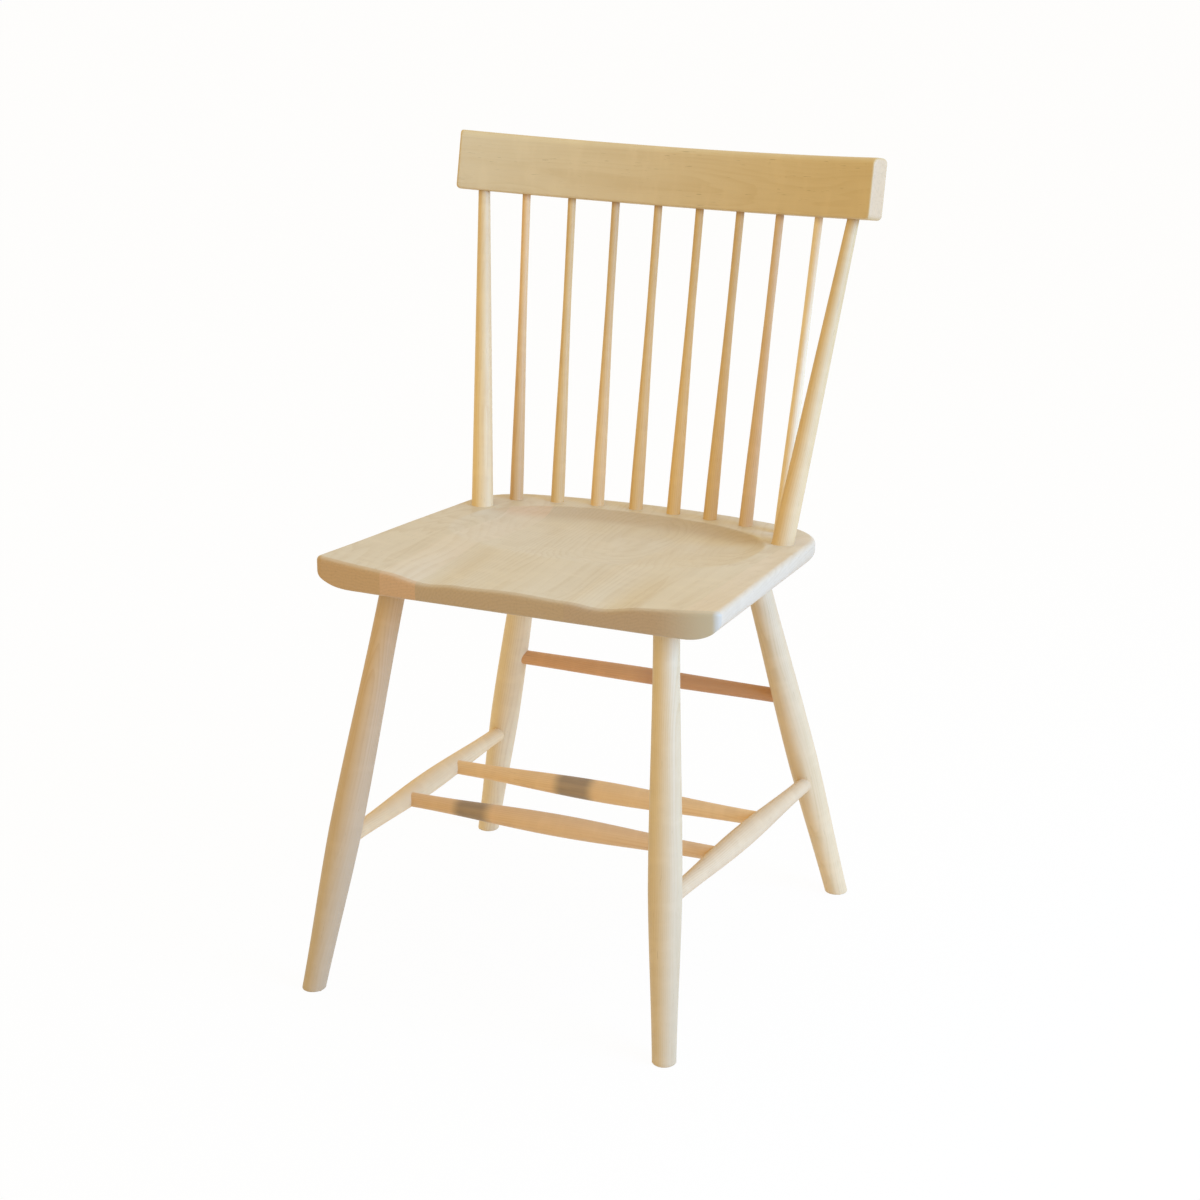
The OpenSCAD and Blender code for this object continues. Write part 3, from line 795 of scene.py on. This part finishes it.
# Each spindle's light wood, late wood and fade to the crest, from the left
spindle_tones = [
    (shade(214, 179, 129), shade(191, 148, 101), 1.14),
    (shade(223, 191, 137), shade(202, 163, 102), 0.91),
    (shade(230, 197, 144), shade(210, 165, 113), 0.78),
    (shade(224, 191, 136), shade(205, 160, 104), 0.86),
    (shade(227, 192, 133), shade(208, 163, 101), 0.82),
    (shade(220, 186, 131), shade(201, 156, 102), 0.85),
    (shade(221, 188, 143), shade(199, 157, 109), 0.91),
    (shade(241, 218, 178), shade(222, 187, 137), 0.93),
]
for number, (light, late, fade) in enumerate(spindle_tones, start=1):
    from_middle = number - (len(spindle_tones) + 1) / 2
    x = from_middle * spindle_pitch
    y = spindle_line(x)
    start = Vector((x, front_edge + y, flat_height(y)))
    end = crest_point(from_middle * spindle_top_pitch)
    length = (end - start).length
    profile = taper_profile(length, spindle_diameters, spindle_even_part, spindle_curve)
    shape = turned(profile, start, end, number * spindle_turn, spindle_sides)
    pith = (spindle_pith[0] + spindle_pith_step * number, spindle_pith[1])
    wood = maple(
        f"spindle_maple_{number}", light, late, pith, flecks=0.3, patch_and_shadow=shadow_under_crest(length, late),
        fade=(length, (fade, fade, fade, 1)))
    finished(shape, f"turned_spindle_{number}", wood, f"spindle_{number}")

# Floor and lamps. A plain pale floor, a soft cool key from the right, a weaker
# lamp above, warm air all round and a white background.
floor_size = 60.0
floor_tone = shade(240, 238, 234)
floor_whiteness = 0.96
white = (1, 1, 1, 1)
warm_air = (1.0, 0.77, 0.36, 1)
warm_air_strength = 0.91
lamp_aim_height = 0.45

shape = bmesh.new()
bmesh.ops.create_grid(shape, x_segments=1, y_segments=1, size=floor_size / 2)
mesh = bpy.data.meshes.new("floor")
shape.to_mesh(mesh)
shape.free()
floor = bpy.data.objects.new("floor", mesh)
bpy.context.scene.collection.objects.link(floor)


def looked_at(wires):
    """1 for what the camera sees, straight on, in a gloss or through glass, and 0 for other light."""
    seen = wires.node("LightPath", {}, {}, "Is Camera Ray")
    mirrored = wires.node("LightPath", {}, {}, "Is Glossy Ray")
    through = wires.node("LightPath", {}, {}, "Is Transmission Ray")
    return wires.maths("MAXIMUM", seen, wires.maths("MAXIMUM", mirrored, through))


floor_paint = bpy.data.materials.new("floor_paint")
floor_paint.use_nodes = True
tree = floor_paint.node_tree
matt = tree.nodes["Principled BSDF"]
matt.inputs["Base Color"].default_value = floor_tone
matt.inputs["Roughness"].default_value = 0.9
wires = Wire(tree)
glow = wires.node("Emission", {}, {"Color": white, "Strength": 1.0})
share = looked_at(wires) * floor_whiteness
painted = wires.node("MixShader", {}, {0: share, 1: Wire(tree, matt.outputs[0]), 2: glow})
tree.links.new(painted.socket, tree.nodes["Material Output"].inputs["Surface"])
mesh.materials.append(floor_paint)

world = bpy.data.worlds.new("world")
bpy.context.scene.world = world
world.use_nodes = True
tree = world.node_tree
wires = Wire(tree)
air = wires.node("Background", {}, {"Color": warm_air, "Strength": warm_air_strength})
backdrop = wires.node("Background", {}, {"Color": white, "Strength": 1.0})
sky = wires.node("MixShader", {}, {0: looked_at(wires), 1: air, 2: backdrop})
tree.links.new(sky.socket, tree.nodes["World Output"].inputs["Surface"])

for name, place, size, watts, colour in (
    ("key", (2.6, -0.3, 1.4), 1.6, 109, (0.167, 0.446, 1.0)),
    ("top", (0.2, 0.4, 3.0), 2.0, 15, (0.44, 0.77, 1.0)),
):
    lamp_data = bpy.data.lights.new(name, "AREA")
    lamp_data.size = size
    lamp_data.energy = watts
    lamp_data.color = colour
    lamp = bpy.data.objects.new(name, lamp_data)
    lamp.location = place
    aim = Vector((0, 0, lamp_aim_height)) - Vector(place)
    lamp.rotation_euler = aim.to_track_quat("-Z", "Y").to_euler()
    bpy.context.scene.collection.objects.link(lamp)

bpy.context.scene.view_settings.view_transform = "Standard"
